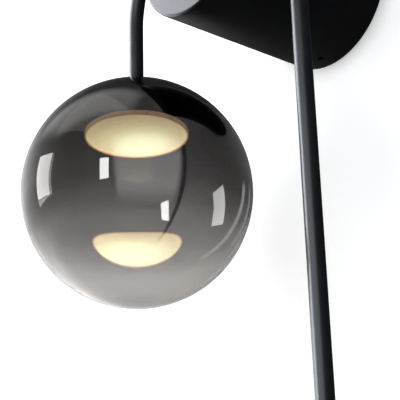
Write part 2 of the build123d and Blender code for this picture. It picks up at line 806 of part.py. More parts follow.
with BuildPart() as board_screws:
    with BuildSketch(head_plane(board_bottom)):
        with PolarLocations(board_screw_reach, clip_count, start_angle=180 / clip_count):
            Circle(board_screw_dia / 2)
    extrude(amount=board_thickness + board_screw_bite)
    with BuildSketch(head_plane(board_bottom)):
        with PolarLocations(board_screw_reach, clip_count, start_angle=180 / clip_count):
            Circle(board_head_dia / 2)
    extrude(amount=-board_head_height)
board_screws.part.label = "board_screws"
export_step(board_screws.part, "parts/board_screws.step")

with BuildPart() as trim_ring:
    with BuildSketch(head_plane(ring_bottom)):
        Circle(ring_radius)
        Circle(ring_radius - ring_wall, mode=Mode.SUBTRACT)
    extrude(amount=ring_height)
    fillet(trim_ring.edges().group_by(Axis.Z)[0], ring_edge_radius)
trim_ring.part.label = "trim_ring"
export_step(trim_ring.part, "parts/trim_ring.step")

with BuildPart() as diffuser:
    with BuildSketch(head_plane(ring_bottom + diffuser_recess)):
        Circle(ring_radius - ring_wall - slip_gap)
    extrude(amount=ring_height - diffuser_recess)
diffuser.part.label = "diffuser"
export_step(diffuser.part, "parts/diffuser.step")
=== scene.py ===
# %% [markdown]
# # A globe wall sconce
#
# The lamp is a smoked glass globe that hangs from the short leg of an arched black tube. The tube
# lies over a round black canopy on the wall, and its long leg hangs down on the other side. The
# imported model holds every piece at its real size. This script gives each piece its finish, and it
# makes finer pieces where glass, a bent tube or small screws show more than the model carries.
# Sizes are in metres. X runs right along the wall, Y runs into the wall and Z is up.

from math import atan2, cos, pi, radians, sin, sqrt

import bmesh
import bpy
from mathutils import Matrix, Vector


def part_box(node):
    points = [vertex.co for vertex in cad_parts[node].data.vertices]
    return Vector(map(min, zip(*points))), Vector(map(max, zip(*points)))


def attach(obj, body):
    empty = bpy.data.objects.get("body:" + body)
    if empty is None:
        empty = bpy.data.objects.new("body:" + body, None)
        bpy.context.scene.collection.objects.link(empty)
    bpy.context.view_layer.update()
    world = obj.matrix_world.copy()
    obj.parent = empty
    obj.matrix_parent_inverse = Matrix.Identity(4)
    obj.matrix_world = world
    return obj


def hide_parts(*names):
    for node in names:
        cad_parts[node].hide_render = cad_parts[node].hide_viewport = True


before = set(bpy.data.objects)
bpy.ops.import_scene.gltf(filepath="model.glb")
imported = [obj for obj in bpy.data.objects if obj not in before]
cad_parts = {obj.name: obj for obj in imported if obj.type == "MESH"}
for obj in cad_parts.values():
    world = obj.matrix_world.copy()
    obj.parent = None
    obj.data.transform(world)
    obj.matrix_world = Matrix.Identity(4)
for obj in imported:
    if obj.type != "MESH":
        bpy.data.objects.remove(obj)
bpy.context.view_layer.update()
mm = 0.001

# %% [markdown]
# ## Sizes that several pieces share
#
# The globe's centre and radius, the tube's radius and the arch's reach could be typed in again, but
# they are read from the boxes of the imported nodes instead. A piece that is built from them stays
# right if the model changes. The glass has an opening on top, so its height is less than its
# diameter, but its width is the full diameter.

# %% Read the main sizes
glass_low, glass_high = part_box("glass_globe")
globe_radius = (glass_high.x - glass_low.x) / 2
globe_centre = (glass_low + glass_high) / 2
globe_centre.z = glass_low.z + globe_radius
arm_low, arm_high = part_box("arm_tube")
tube_radius = (arm_high.y - arm_low.y) / 2
arm_reach = (arm_high.x - arm_low.x) / 2 - tube_radius
arch_height = arm_high.z - tube_radius - arm_reach
print("globe radius", round(globe_radius, 4), "centre", [round(c, 4) for c in globe_centre])
print("tube radius", round(tube_radius, 4), "arch reach", round(arm_reach, 4))

# %% [markdown]
# ## The camera
#
# The photograph was taken from below and from the right, looking up along the wall. Its camera was
# worked out from the globe's outline, which is an ellipse in the picture, and from the edges of the
# tube and of the canopy. The picture is a crop of a larger one, so the lens is shifted a little.
# A matrix does the three turns in their order: round to the heading, tipped up, then rolled about
# the line of sight.

# %% Camera
camera_place = Vector((0.4609, -0.4910, -0.4074))
camera_heading = radians(53.364)  # from straight into the wall, towards the left
camera_tip = radians(90 + 19.95)  # 90 degrees looks level
camera_roll = radians(-0.8)
camera_data = bpy.data.cameras.new("camera")
camera_data.lens = 99.0
camera_data.sensor_width = 36.0
camera_data.shift_x = 0.0991
camera_data.shift_y = 0.0664
camera_data.clip_start = 0.01
camera = bpy.data.objects.new("camera", camera_data)
camera.matrix_world = (
    Matrix.Translation(camera_place)
    @ Matrix.Rotation(camera_heading, 4, "Z")
    @ Matrix.Rotation(camera_tip, 4, "X")
    @ Matrix.Rotation(camera_roll, 4, "Z")
)
bpy.context.scene.collection.objects.link(camera)
bpy.context.scene.camera = camera
bpy.context.scene.view_settings.view_transform = "Standard"
print("camera to globe:", round((camera_place - globe_centre).length, 3), "m")

# %% [markdown]
# ## A helper for nodes
#
# Materials, the studio's light and the Geometry Nodes below are all trees of nodes. Each call of
# this helper adds one node, and sets or links its inputs by name or number. It returns the node's
# first output, so one node's result can go straight into the next.

# %% Node helper
def add(tree, kind, inputs=None, out=0, **settings):
    """Adds a node, sets its settings, and sets or links its inputs. Returns one of its outputs."""
    node = tree.nodes.new(kind)
    for setting, value in settings.items():
        setattr(node, setting, value)
    for place, value in (inputs or {}).items():
        if isinstance(value, bpy.types.NodeSocket):
            tree.links.new(value, node.inputs[place])
        else:
            node.inputs[place].default_value = value
    return node.outputs[out]


def sum_of(tree, operation, first, second=0.0, third=0.0):
    """One step of arithmetic on numbers or sockets."""
    return add(tree, "ShaderNodeMath", {0: first, 1: second, 2: third}, operation=operation)


print("node helper ready")

# %% [markdown]
# ## Helpers for finishes
#
# Every finish starts from one Principled shader, because it renders well and exports well. Patterns
# read Object coordinates. Every piece sits at the origin, so these are metres on the real lamp, and
# a noise's scale is one over the size of its features. A number that is the same all over a surface
# is set straight on the shader's socket.

# %% Finish helpers
finishes = {}


def new_finish(name, **values):
    """A material with one Principled shader. Sockets are named with underscores for spaces."""
    material = bpy.data.materials.new(name)
    material.use_nodes = True
    tree = material.node_tree
    shader = tree.nodes["Principled BSDF"]
    for socket, value in values.items():
        shader.inputs[socket.replace("_", " ")].default_value = value
    finishes[name] = material
    return tree, shader


def place_from(tree, centre=(0, 0, 0), scale=(1, 1, 1)):
    """Object coordinates, measured from a centre and stretched."""
    coordinates = add(tree, "ShaderNodeTexCoord", out="Object")
    moved = add(tree, "ShaderNodeVectorMath", {0: coordinates, 1: centre}, operation="SUBTRACT")
    return add(tree, "ShaderNodeVectorMath", {0: moved, 1: scale}, operation="MULTIPLY")


def noise(tree, feature, detail=2.0, stretch=(1, 1, 1)):
    """Noise whose features have a given size in metres."""
    inputs = {"Vector": place_from(tree, scale=stretch), "Scale": 1 / feature, "Detail": detail}
    return add(tree, "ShaderNodeTexNoise", inputs)


def spread(tree, factor, low, high, start=0.3, end=0.7):
    """Maps a factor from start..end to low..high. Noise lies mostly between 0.3 and 0.7."""
    inputs = {"Value": factor, "From Min": start, "From Max": end, "To Min": low, "To Max": high}
    return add(tree, "ShaderNodeMapRange", inputs)


def ramp(tree, factor, stops):
    """A colour ramp from (position, colour) stops."""
    node = tree.nodes.new("ShaderNodeValToRGB")
    elements = node.color_ramp.elements
    while len(elements) < len(stops):
        elements.new(0.5)
    for element, (position, colour) in zip(elements, stops):
        element.position = position
        element.color = (*colour, 1)
    tree.links.new(factor, node.inputs["Fac"])
    return node.outputs["Color"]


patch_grains = 14  # a lighter or darker patch is as wide as this many grains


def grained(name, colours, roughness, grain, relief, stretch=(1, 1, 1), **values):
    """A finish whose relief is a fine grain, and whose colour and gloss vary in wider patches."""
    tree, shader = new_finish(name, **values)
    fine = noise(tree, grain, 3.0, stretch)
    share = spread(tree, noise(tree, patch_grains * grain, 2.0, stretch), 0, 1)
    colour = ramp(tree, share, [(0, colours[0]), (1, colours[1])])
    tree.links.new(colour, shader.inputs["Base Color"])
    tree.links.new(spread(tree, share, *roughness, 0, 1), shader.inputs["Roughness"])
    bump = {"Height": fine, "Distance": relief, "Strength": 0.5}
    tree.links.new(add(tree, "ShaderNodeBump", bump), shader.inputs["Normal"])
    print("finish:", name)


print("finish helpers ready")

# %% [markdown]
# ## Black finishes
#
# The tube, the canopy and the cap are powder coated: near black with a trace of blue, a satin
# gloss, and the very fine orange peel that powder leaves. The lamp head's housing is anodised,
# which is flatter and has no peel. The grub screws are blackened steel, so they are a metal. One
# helper makes all three from a grain, because only its size, depth and gloss differ.

# %% Powder coat, anodised aluminium, blackened steel
grained("satin_black", ((0.0040, 0.0043, 0.0052), (0.0052, 0.0056, 0.0067)), (0.33, 0.37),
        0.7 * mm, 0.003 * mm, Specular_IOR_Level=0.15, IOR=1.45)
grained("matt_black", ((0.010, 0.010, 0.011), (0.016, 0.016, 0.017)), (0.48, 0.58), 0.3 * mm, 0.01 * mm)
grained("dark_steel", ((0.09, 0.09, 0.095), (0.15, 0.15, 0.155)), (0.32, 0.45), 0.4 * mm, 0.008 * mm,
        Metallic=1.0)

# %% [markdown]
# ## Bare and plated metals
#
# Zinc plate is a soft, slightly mottled grey, so its grain is broad. Brass pieces are turned and
# left bare. The heat sink is machined aluminium. The spring clips are cut from rolled strip, so
# their grain is drawn out along one direction. The ring round the disc is copper coloured. Its
# finish also gives off a little light, a painted glow that stands in for the disc's light caught
# on its inside.

# %% Zinc, brass, aluminium, spring steel, copper
grained("zinc_steel", ((0.46, 0.47, 0.50), (0.66, 0.66, 0.67)), (0.28, 0.44), 0.9 * mm, 0.01 * mm,
        Metallic=1.0)
grained("brass", ((0.62, 0.43, 0.17), (0.80, 0.60, 0.28)), (0.22, 0.34), 0.5 * mm, 0.006 * mm,
        Metallic=1.0)
grained("bare_aluminium", ((0.70, 0.71, 0.72), (0.84, 0.84, 0.85)), (0.24, 0.36), 0.6 * mm, 0.006 * mm,
        Metallic=1.0)
grained("spring_steel", ((0.40, 0.40, 0.42), (0.60, 0.60, 0.62)), (0.18, 0.34), 0.25 * mm, 0.006 * mm,
        stretch=(0.08, 1, 1), Metallic=1.0)
# The copper ring's emission is a painted glow, standing in for the disc's light on its inside.
grained("copper_trim", ((0.62, 0.36, 0.22), (0.80, 0.50, 0.33)), (0.25, 0.36), 0.5 * mm, 0.006 * mm,
        Metallic=1.0, Emission_Color=(1.0, 0.62, 0.36, 1), Emission_Strength=2.6)

# %% [markdown]
# ## Rubber, plastics and the lead
#
# These hide inside the lamp, but a person who takes the model apart will see them. The moulded
# pieces have the light spark-eroded texture of a mould. The silicone ring lets some light through.
# The chips' yellow phosphor glows of itself, because the lamp is lit.

# %% Rubber, silicone, plastics, cable, phosphor
grained("black_rubber", ((0.014, 0.014, 0.014), (0.024, 0.024, 0.024)), (0.58, 0.72),
        0.5 * mm, 0.02 * mm)
grained("clear_silicone", ((0.62, 0.64, 0.64), (0.72, 0.73, 0.72)), (0.34, 0.45), 0.8 * mm, 0.01 * mm,
        Transmission_Weight=0.6, IOR=1.41)
grained("white_plastic", ((0.70, 0.70, 0.68), (0.78, 0.78, 0.76)), (0.38, 0.48), 0.35 * mm, 0.015 * mm)
grained("white_board", ((0.74, 0.74, 0.70), (0.82, 0.82, 0.79)), (0.28, 0.36), 0.8 * mm, 0.006 * mm)
grained("grey_cable", ((0.085, 0.085, 0.090), (0.125, 0.125, 0.130)), (0.42, 0.55), 0.6 * mm, 0.015 * mm)
grained("led_yellow", ((0.86, 0.60, 0.10), (0.95, 0.72, 0.18)), (0.35, 0.5), 0.3 * mm, 0.01 * mm,
        Emission_Color=(1.0, 0.80, 0.42, 1), Emission_Strength=3.0)

# %% [markdown]
# ## Smoked glass
#
# The globe is blown from smoked glass, darkest at the top and almost clear low down, and its
# inside carries a thin metal coat. Two things make its look. Light that goes through is dimmed by
# the smoke, and light that bounces inside meets the bare coat, which is why the lit disc shows
# again below as a bright half-moon. One material can't do both, so the outer faces get smoked glass
# and the inner faces get the coat. Both follow the height on the globe, from -1 at the bottom to 1
# at the top, so three helpers come first: one for the height, two for stops along it.

# %% Height on the globe
def on_globe(tree):
    """The height on the globe, from 0 at the bottom to 1 at the top."""
    share = place_from(tree, globe_centre, (1 / globe_radius,) * 3)
    return spread(tree, add(tree, "ShaderNodeSeparateXYZ", {0: share}, out="Z"), 0, 1, -1, 1)


def grey_stops(*stops):
    """Ramp stops from (height, brightness) pairs, in a slightly warm grey."""
    return [((height + 1) / 2, (value, value * 0.975, value * 0.955)) for height, value in stops]


def single(*stops):
    """Ramp stops from (place, value) pairs, whose places run from -1 to 1."""
    return [((height + 1) / 2, (value,) * 3) for height, value in stops]


print("height helpers ready")

# %% [markdown]
# ## The smoke
#
# The smoke is the glass shader's colour. Towards the outline the eye looks through more glass, so
# there it is darker as well: the Facing output is 0 where a face is seen square on and 1 where it
# is seen edge-on, and its ramp is multiplied with the ramp along the height.

# %% Smoked glass
smoke_tree, smoke = new_finish("smoked_glass", Transmission_Weight=1.0, IOR=1.45, Roughness=0.0)
smoke_colour = ramp(smoke_tree, on_globe(smoke_tree), grey_stops(
    (-1.0, 0.46), (-0.96, 0.58), (-0.9, 0.68), (-0.75, 0.74), (-0.52, 0.69), (-0.37, 0.42),
    (-0.2, 0.24), (0.0, 0.16), (0.2, 0.14), (0.42, 0.20), (0.6, 0.12), (0.8, 0.03), (1.0, 0.005)))
edge_on = add(smoke_tree, "ShaderNodeLayerWeight", {"Blend": 0.5}, out="Facing")
edge_dim = ramp(smoke_tree, edge_on, [
    (0.00, (1.00, 1.00, 1.00)),
    (0.25, (0.97, 0.97, 0.97)),
    (0.45, (0.80, 0.79, 0.78)),
    (0.65, (0.66, 0.65, 0.64)),
    (0.86, (0.50, 0.49, 0.48)),
    (0.94, (0.26, 0.26, 0.26)),
    (1.00, (0.03, 0.03, 0.03)),
])
smoke_colour = add(smoke_tree, "ShaderNodeMix", {"Factor": 1.0, "A": smoke_colour, "B": edge_dim},
                   out="Result", data_type="RGBA", blend_type="MULTIPLY")
smoke_tree.links.new(smoke_colour, smoke.inputs["Base Color"])
print("finish: smoked_glass")

# %% [markdown]
# ## The coat
#
# The coat is a Principled shader as well. Its Metallic share is a mirror, and the rest of it is
# glass. The share grows with height: at the bottom the coat is nearly clear, the half-moon lies
# where about a third of it is mirror, and at the top it is all mirror.

# %% Coated glass
coat_tree, coat = new_finish("coated_glass", Transmission_Weight=1.0, IOR=1.45, Roughness=0.0,
                             Specular_Tint=(0.2, 0.2, 0.2, 1))
coat_tree.links.new(ramp(coat_tree, on_globe(coat_tree), grey_stops(
    (-1.0, 0.86), (-0.75, 0.72), (-0.52, 0.50), (-0.37, 0.38), (-0.2, 0.30), (0.0, 0.25),
    (0.3, 0.22), (0.6, 0.20), (1.0, 0.10))), coat.inputs["Base Color"])
coat_tree.links.new(ramp(coat_tree, on_globe(coat_tree), single(
    (-1.0, 0.12), (-0.75, 0.16), (-0.52, 0.26), (-0.37, 0.36), (-0.2, 0.46), (0.0, 0.56),
    (0.3, 0.70), (0.6, 0.85), (1.0, 1.0))), coat.inputs["Metallic"])
print("finish: coated_glass")

# %% [markdown]
# ## The lit disc
#
# The opal disc glows warm white. It is brightest a little to the left of its middle and towards the
# wall, as in the photograph, and falls off towards its edge, where the ring shades it from the
# outermost chips. A lamp under the disc would light the globe, but the eye sees the disc itself, so
# its own surface gives off the light.

# %% Opal disc
disc_low, disc_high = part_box("diffuser")
disc_centre = (disc_low + disc_high) / 2
disc_radius = (disc_high.x - disc_low.x) / 2
glow_shift = Vector((-0.22, 0.30, 0))  # disc radii from the middle to the brightest spot
glow_reach = 1.3  # disc radii from the brightest spot to the dimmest edge
glow_centre = disc_centre + glow_shift * disc_radius
glow_scale = 1 / (glow_reach * disc_radius)
opal_tree, opal = new_finish("opal", Base_Color=(0.9, 0.86, 0.72, 1), Roughness=0.4,
                             Emission_Strength=11.6)
from_spot = place_from(opal_tree, glow_centre, (glow_scale, glow_scale, 0))
spot_reach = add(opal_tree, "ShaderNodeVectorMath", {0: from_spot}, out="Value", operation="LENGTH")
glow = ramp(opal_tree, spot_reach, [
    (0.00, (1.00, 1.00, 0.60)),
    (0.30, (0.92, 0.90, 0.56)),
    (0.55, (0.72, 0.64, 0.37)),
    (0.85, (0.57, 0.47, 0.26)),
    (1.00, (0.52, 0.38, 0.19)),
])
opal_tree.links.new(glow, opal.inputs["Emission Color"])
print("finish: opal, disc radius", round(disc_radius, 4))

# %% [markdown]
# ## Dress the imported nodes
#
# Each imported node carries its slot's name on its one material. Swapping that material for the
# finish of the same name dresses all of them in one loop. Their meshes aren't touched.

# %% Give every node its finish
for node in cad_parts.values():
    slot = node.data.materials[0].name.split(".")[0]
    node.data.materials[0] = finishes[slot]
print("nodes dressed:", len(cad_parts))

# %% [markdown]
# ## The globe's glass
#
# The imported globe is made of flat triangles, which a mirror would show, so a finer shell stands for
# it. Real ones are blown and then cut open and polished. Here a profile is turned about the upright
# axis, as on a lathe: an outer and an inner arc from the opening down to the bottom. The points are
# spaced by angle, and each pole is one point, so no seam or hole is left.

# %% Lathe helper
def lathe(name, profile, centre, steps):
    """Turns (reach, height) points about the upright axis through centre. A reach of 0 is a pole."""
    mesh = bmesh.new()
    rings = []
    for reach, height in profile:
        if reach == 0:
            rings.append([mesh.verts.new(centre + Vector((0, 0, height)))])
            continue
        turns = [2 * pi * step / steps for step in range(steps)]
        points = [Vector((reach * cos(turn), reach * sin(turn), height)) for turn in turns]
        rings.append([mesh.verts.new(centre + point) for point in points])
    for first, second in zip(rings, rings[1:]):
        for step in range(steps):
            after = (step + 1) % steps
            corners = [first[step % len(first)], first[after % len(first)]]
            corners += [second[after % len(second)], second[step % len(second)]]
            mesh.faces.new(list(dict.fromkeys(corners)))
    bmesh.ops.recalc_face_normals(mesh, faces=mesh.faces)
    data = bpy.data.meshes.new(name)
    mesh.to_mesh(data)
    mesh.free()
    data.shade_smooth()
    piece = bpy.data.objects.new(name, data)
    bpy.context.scene.collection.objects.link(piece)
    return piece


print("lathe ready")

# %% Glass globe
glass_wall = 2.2 * mm
opening_radius = 35 * mm
arc_steps = 96  # from the opening down to the bottom
round_steps = 180  # about the upright axis
inner_radius = globe_radius - glass_wall


def opening_turn(radius):
    """The angle from the top to the opening, on a sphere of this radius."""
    return atan2(opening_radius, sqrt(radius**2 - opening_radius**2))


def arc(radius, start, end):
    """(reach, height) points from one angle to another. The top is 0, and the bottom is pi."""
    turns = [start + (end - start) * step / arc_steps for step in range(arc_steps + 1)]
    return [(radius * sin(turn), radius * cos(turn)) for turn in turns]


globe_profile = arc(globe_radius, pi, opening_turn(globe_radius))
globe_profile += arc(inner_radius, opening_turn(inner_radius), pi)
globe_profile[0], globe_profile[-1] = (0, -globe_radius), (0, -inner_radius)  # exact poles
globe = lathe("globe_glass", globe_profile, globe_centre, round_steps)
globe.data.materials.append(finishes["smoked_glass"])
globe.data.materials.append(finishes["coated_glass"])
coat_limit = globe_radius - 0.7 * glass_wall  # the rim of the opening lies further out
for face in globe.data.polygons:
    if (face.center - globe_centre).length < coat_limit:
        face.material_index = 1
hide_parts("glass_globe")
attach(globe, "root")
print("globe faces:", len(globe.data.polygons))

# %% [markdown]
# ## Helpers for Geometry Nodes
#
# Pieces that follow a rule or repeat are made by trees of geometry nodes. A tree gets named inputs
# for its sizes. The modifier that runs it takes each value by the input's identifier, and the
# result is then copied out as a plain mesh, so that nothing is left to work out later.

# %% Geometry Nodes helpers
SOCKETS = {float: "NodeSocketFloat", int: "NodeSocketInt", Vector: "NodeSocketVector"}


def new_tree(name, sizes):
    """A tree with a geometry input and output, a material input and named sizes."""
    tree = bpy.data.node_groups.new(name, "GeometryNodeTree")
    tree.interface.new_socket("Geometry", in_out="OUTPUT", socket_type="NodeSocketGeometry")
    tree.interface.new_socket("Geometry", in_out="INPUT", socket_type="NodeSocketGeometry")
    tree.interface.new_socket("Finish", in_out="INPUT", socket_type="NodeSocketMaterial")
    for size, value in sizes.items():
        tree.interface.new_socket(size, in_out="INPUT", socket_type=SOCKETS[type(value)])
    given = tree.nodes.new("NodeGroupInput").outputs
    return tree, given


def end_tree(tree, given, geometry, smooth=True):
    """Ends a tree: real geometry, smooth or flat faces, and the finish."""
    real = add(tree, "GeometryNodeRealizeInstances", {"Geometry": geometry})
    shaded = add(tree, "GeometryNodeSetShadeSmooth", {"Geometry": real, "Shade Smooth": smooth})
    done = add(tree, "GeometryNodeSetMaterial", {"Geometry": shaded, "Material": given["Finish"]})
    output = tree.nodes.new("NodeGroupOutput")
    tree.links.new(done, output.inputs[0])


def grow(name, tree, slot, sizes, points=()):
    """Runs a tree on a mesh of points and returns its result as a plain mesh object."""
    data = bpy.data.meshes.new(name)
    data.from_pydata([tuple(point) for point in points], [], [])
    piece = bpy.data.objects.new(name, data)
    bpy.context.scene.collection.objects.link(piece)
    modifier = piece.modifiers.new(name, "NODES")
    modifier.node_group = tree
    for item in tree.interface.items_tree:
        if item.in_out == "INPUT" and item.name in sizes:
            size = sizes[item.name]
            modifier[item.identifier] = size if isinstance(size, (int, float)) else tuple(size)
        elif item.in_out == "INPUT" and item.name == "Finish":
            modifier[item.identifier] = finishes[slot]
    evaluated = piece.evaluated_get(bpy.context.evaluated_depsgraph_get())
    result = bpy.data.meshes.new_from_object(evaluated)
    piece.modifiers.clear()
    piece.data = result
    return piece


print("geometry helpers ready")

# %% [markdown]
# ## The arched tube
#
# The arm is one tube, bent on a former: a straight short leg, a half-round arch and a straight long
# leg. It could be a curve with a bevel, drawn point by point. It follows a rule, though, so the
# points are worked out from the distance along the tube: up the short leg, round the arch by an
# angle, and down the long leg. The wall's thickness comes from a Solidify modifier.

# %% Arm tube tree
arm_sizes = {"Short Leg": 0.0, "Long Leg": 0.0, "Reach": 0.0, "Radius": 0.0, "Arch Height": 0.0,
             "Depth": 0.0, "Steps": 0, "Sides": 0}
arm_tree, given = new_tree("bent_tube", arm_sizes)
arch_length = sum_of(arm_tree, "MULTIPLY", given["Reach"], pi)
legs = sum_of(arm_tree, "ADD", given["Short Leg"], given["Long Leg"])
whole = sum_of(arm_tree, "ADD", legs, arch_length)
line = add(arm_tree, "GeometryNodeCurvePrimitiveLine", {"Start": (0, 0, 0), "End": (0, 0, 1)})
line = add(arm_tree, "GeometryNodeResampleCurve", {"Curve": line, "Count": given["Steps"]})
share = add(arm_tree, "GeometryNodeSplineParameter", out="Factor")
along = sum_of(arm_tree, "MULTIPLY", share, whole)
past_leg = sum_of(arm_tree, "SUBTRACT", along, given["Short Leg"])
past_arch = sum_of(arm_tree, "SUBTRACT", past_leg, arch_length)
bend = sum_of(arm_tree, "MINIMUM", sum_of(arm_tree, "MAXIMUM", past_leg, 0.0), arch_length)
angle = sum_of(arm_tree, "DIVIDE", bend, given["Reach"])
before = sum_of(arm_tree, "MINIMUM", past_leg, 0.0)
after = sum_of(arm_tree, "MAXIMUM", past_arch, 0.0)
side = sum_of(arm_tree, "MULTIPLY", sum_of(arm_tree, "COSINE", angle), given["Reach"])
side = sum_of(arm_tree, "MULTIPLY", side, -1.0)
rise = sum_of(arm_tree, "SINE", angle)
rise = sum_of(arm_tree, "MULTIPLY_ADD", rise, given["Reach"], given["Arch Height"])
rise = sum_of(arm_tree, "SUBTRACT", sum_of(arm_tree, "ADD", rise, before), after)
place = add(arm_tree, "ShaderNodeCombineXYZ", {"X": side, "Y": given["Depth"], "Z": rise})
path = add(arm_tree, "GeometryNodeSetPosition", {"Geometry": line, "Position": place})
ring = add(arm_tree, "GeometryNodeCurvePrimitiveCircle", {
    "Resolution": given["Sides"], "Radius": given["Radius"]})
tube = add(arm_tree, "GeometryNodeCurveToMesh", {"Curve": path, "Profile Curve": ring})
end_tree(arm_tree, given, tube)
print("tree: bent_tube, nodes", len(arm_tree.nodes))

# %% Arm tube
tube_wall = 1.25 * mm
arm_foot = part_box("globe_cap")[1].z
long_end = arm_low.z
arm = grow("arm_tube_bent", arm_tree, "satin_black", {
    "Short Leg": arch_height - arm_foot,
    "Long Leg": arch_height - long_end,
    "Reach": arm_reach,
    "Radius": tube_radius,
    "Arch Height": arch_height,
    "Depth": (arm_low.y + arm_high.y) / 2,
    "Steps": 360,
    "Sides": 48,
})
wall_thickness = arm.modifiers.new("wall", "SOLIDIFY")
wall_thickness.thickness = tube_wall
wall_thickness.offset = -1
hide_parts("arm_tube")
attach(arm, "root")
print("arm faces:", len(arm.data.polygons), "foot", round(arm_foot, 4), "end", round(long_end, 4))

# %% [markdown]
# ## Where the screws and chips are
#
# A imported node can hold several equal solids, such as all screws of one kind. Their places are
# needed again below, and typed-in places would go wrong when the model changes. So they are read
# from the node: a copy of its mesh is merged, because it is stored as loose triangles, and points
# that hang together are gathered into one solid.

# %% Find the solids in a node
def solids_in(node_name):
    """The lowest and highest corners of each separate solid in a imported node."""
    mesh = bmesh.new()
    mesh.from_mesh(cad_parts[node_name].data)
    bmesh.ops.remove_doubles(mesh, verts=mesh.verts, dist=0.001 * mm)
    boxes = []
    left_over = set(mesh.verts)
    while left_over:
        ends = [left_over.pop()]
        solid = []
        while ends:
            point = ends.pop()
            solid.append(point.co.copy())
            beside = {edge.other_vert(point) for edge in point.link_edges} & left_over
            left_over -= beside
            ends += beside
        low = Vector([min(spot[way] for spot in solid) for way in range(3)])
        high = Vector([max(spot[way] for spot in solid) for way in range(3)])
        boxes.append((low, high))
    mesh.free()
    return sorted(boxes, key=lambda box: tuple(box[0]))


for node_name in ("bracket_screws", "terminal_screws", "led_chips"):
    print(node_name, "solids:", len(solids_in(node_name)))

# %% [markdown]
# ## Screws
#
# The lamp holds seven kinds of cross-head screw. One tree makes them all: a shank, and a head whose
# top drops with the square of the reach from its middle, as a pan head's does. Two crossed blocks
# cut the recess, with a boolean that runs once a kind, because all screws of a kind are copies. The
# copies stand on points, and a turn faces them out from the wall, up or down.

# %% Screw tree
screw_sizes = {"Head Radius": 0.0, "Head Height": 0.0, "Dome": 0.0, "Shank Radius": 0.0,
               "Shank Length": 0.0, "Turn": Vector()}
screw_tree, given = new_tree("cross_head_screws", screw_sizes)
head = add(screw_tree, "GeometryNodeMeshCylinder", {
    "Vertices": 32, "Fill Segments": 4, "Radius": given["Head Radius"], "Depth": given["Head Height"]},
    fill_type="TRIANGLE_FAN")
spot = screw_tree.nodes.new("ShaderNodeSeparateXYZ")
screw_tree.links.new(add(screw_tree, "GeometryNodeInputPosition"), spot.inputs[0])
flat_spot = add(screw_tree, "ShaderNodeCombineXYZ", {"X": spot.outputs["X"], "Y": spot.outputs["Y"]})
reach = add(screw_tree, "ShaderNodeVectorMath", {0: flat_spot}, out="Value", operation="LENGTH")
share = sum_of(screw_tree, "DIVIDE", reach, given["Head Radius"])
fall = sum_of(screw_tree, "MULTIPLY", sum_of(screw_tree, "POWER", share, 2.0), given["Dome"])
drop = add(screw_tree, "ShaderNodeCombineXYZ", {"Z": sum_of(screw_tree, "MULTIPLY", fall, -1.0)})
on_top = sum_of(screw_tree, "GREATER_THAN", spot.outputs["Z"], 0.0)
head = add(screw_tree, "GeometryNodeSetPosition", {
    "Geometry": head, "Selection": on_top, "Offset": drop})
half_head = sum_of(screw_tree, "MULTIPLY", given["Head Height"], 0.5)
rise = add(screw_tree, "ShaderNodeCombineXYZ", {"Z": half_head})
head = add(screw_tree, "GeometryNodeTransform", {"Geometry": head, "Translation": rise})

long_share, wide_share = 1.15, 0.30  # the cross recess, as shares of the head's radius
recess_length = sum_of(screw_tree, "MULTIPLY", given["Head Radius"], long_share)
recess_width = sum_of(screw_tree, "MULTIPLY", given["Head Radius"], wide_share)
head_top = add(screw_tree, "ShaderNodeCombineXYZ", {"Z": given["Head Height"]})
for across, along in ((recess_length, recess_width), (recess_width, recess_length)):
    size = add(screw_tree, "ShaderNodeCombineXYZ", {"X": across, "Y": along, "Z": given["Head Height"]})
    block = add(screw_tree, "GeometryNodeMeshCube", {"Size": size})
    block = add(screw_tree, "GeometryNodeTransform", {"Geometry": block, "Translation": head_top})
    cut = screw_tree.nodes.new("GeometryNodeMeshBoolean")
    cut.operation = "DIFFERENCE"
    screw_tree.links.new(head, cut.inputs["Mesh 1"])
    screw_tree.links.new(block, cut.inputs["Mesh 2"])
    head = cut.outputs["Mesh"]

shank = add(screw_tree, "GeometryNodeMeshCylinder", {
    "Vertices": 24, "Radius": given["Shank Radius"], "Depth": given["Shank Length"]})
half_shank = sum_of(screw_tree, "MULTIPLY", given["Shank Length"], -0.5)
sink = add(screw_tree, "ShaderNodeCombineXYZ", {"Z": half_shank})
shank = add(screw_tree, "GeometryNodeTransform", {"Geometry": shank, "Translation": sink})
screw = screw_tree.nodes.new("GeometryNodeJoinGeometry")
screw_tree.links.new(head, screw.inputs[0])
screw_tree.links.new(shank, screw.inputs[0])
screws = add(screw_tree, "GeometryNodeInstanceOnPoints", {
    "Points": given["Geometry"], "Instance": screw.outputs[0], "Rotation": given["Turn"]})
end_tree(screw_tree, given, screws, smooth=False)
print("tree: cross_head_screws, nodes", len(screw_tree.nodes))

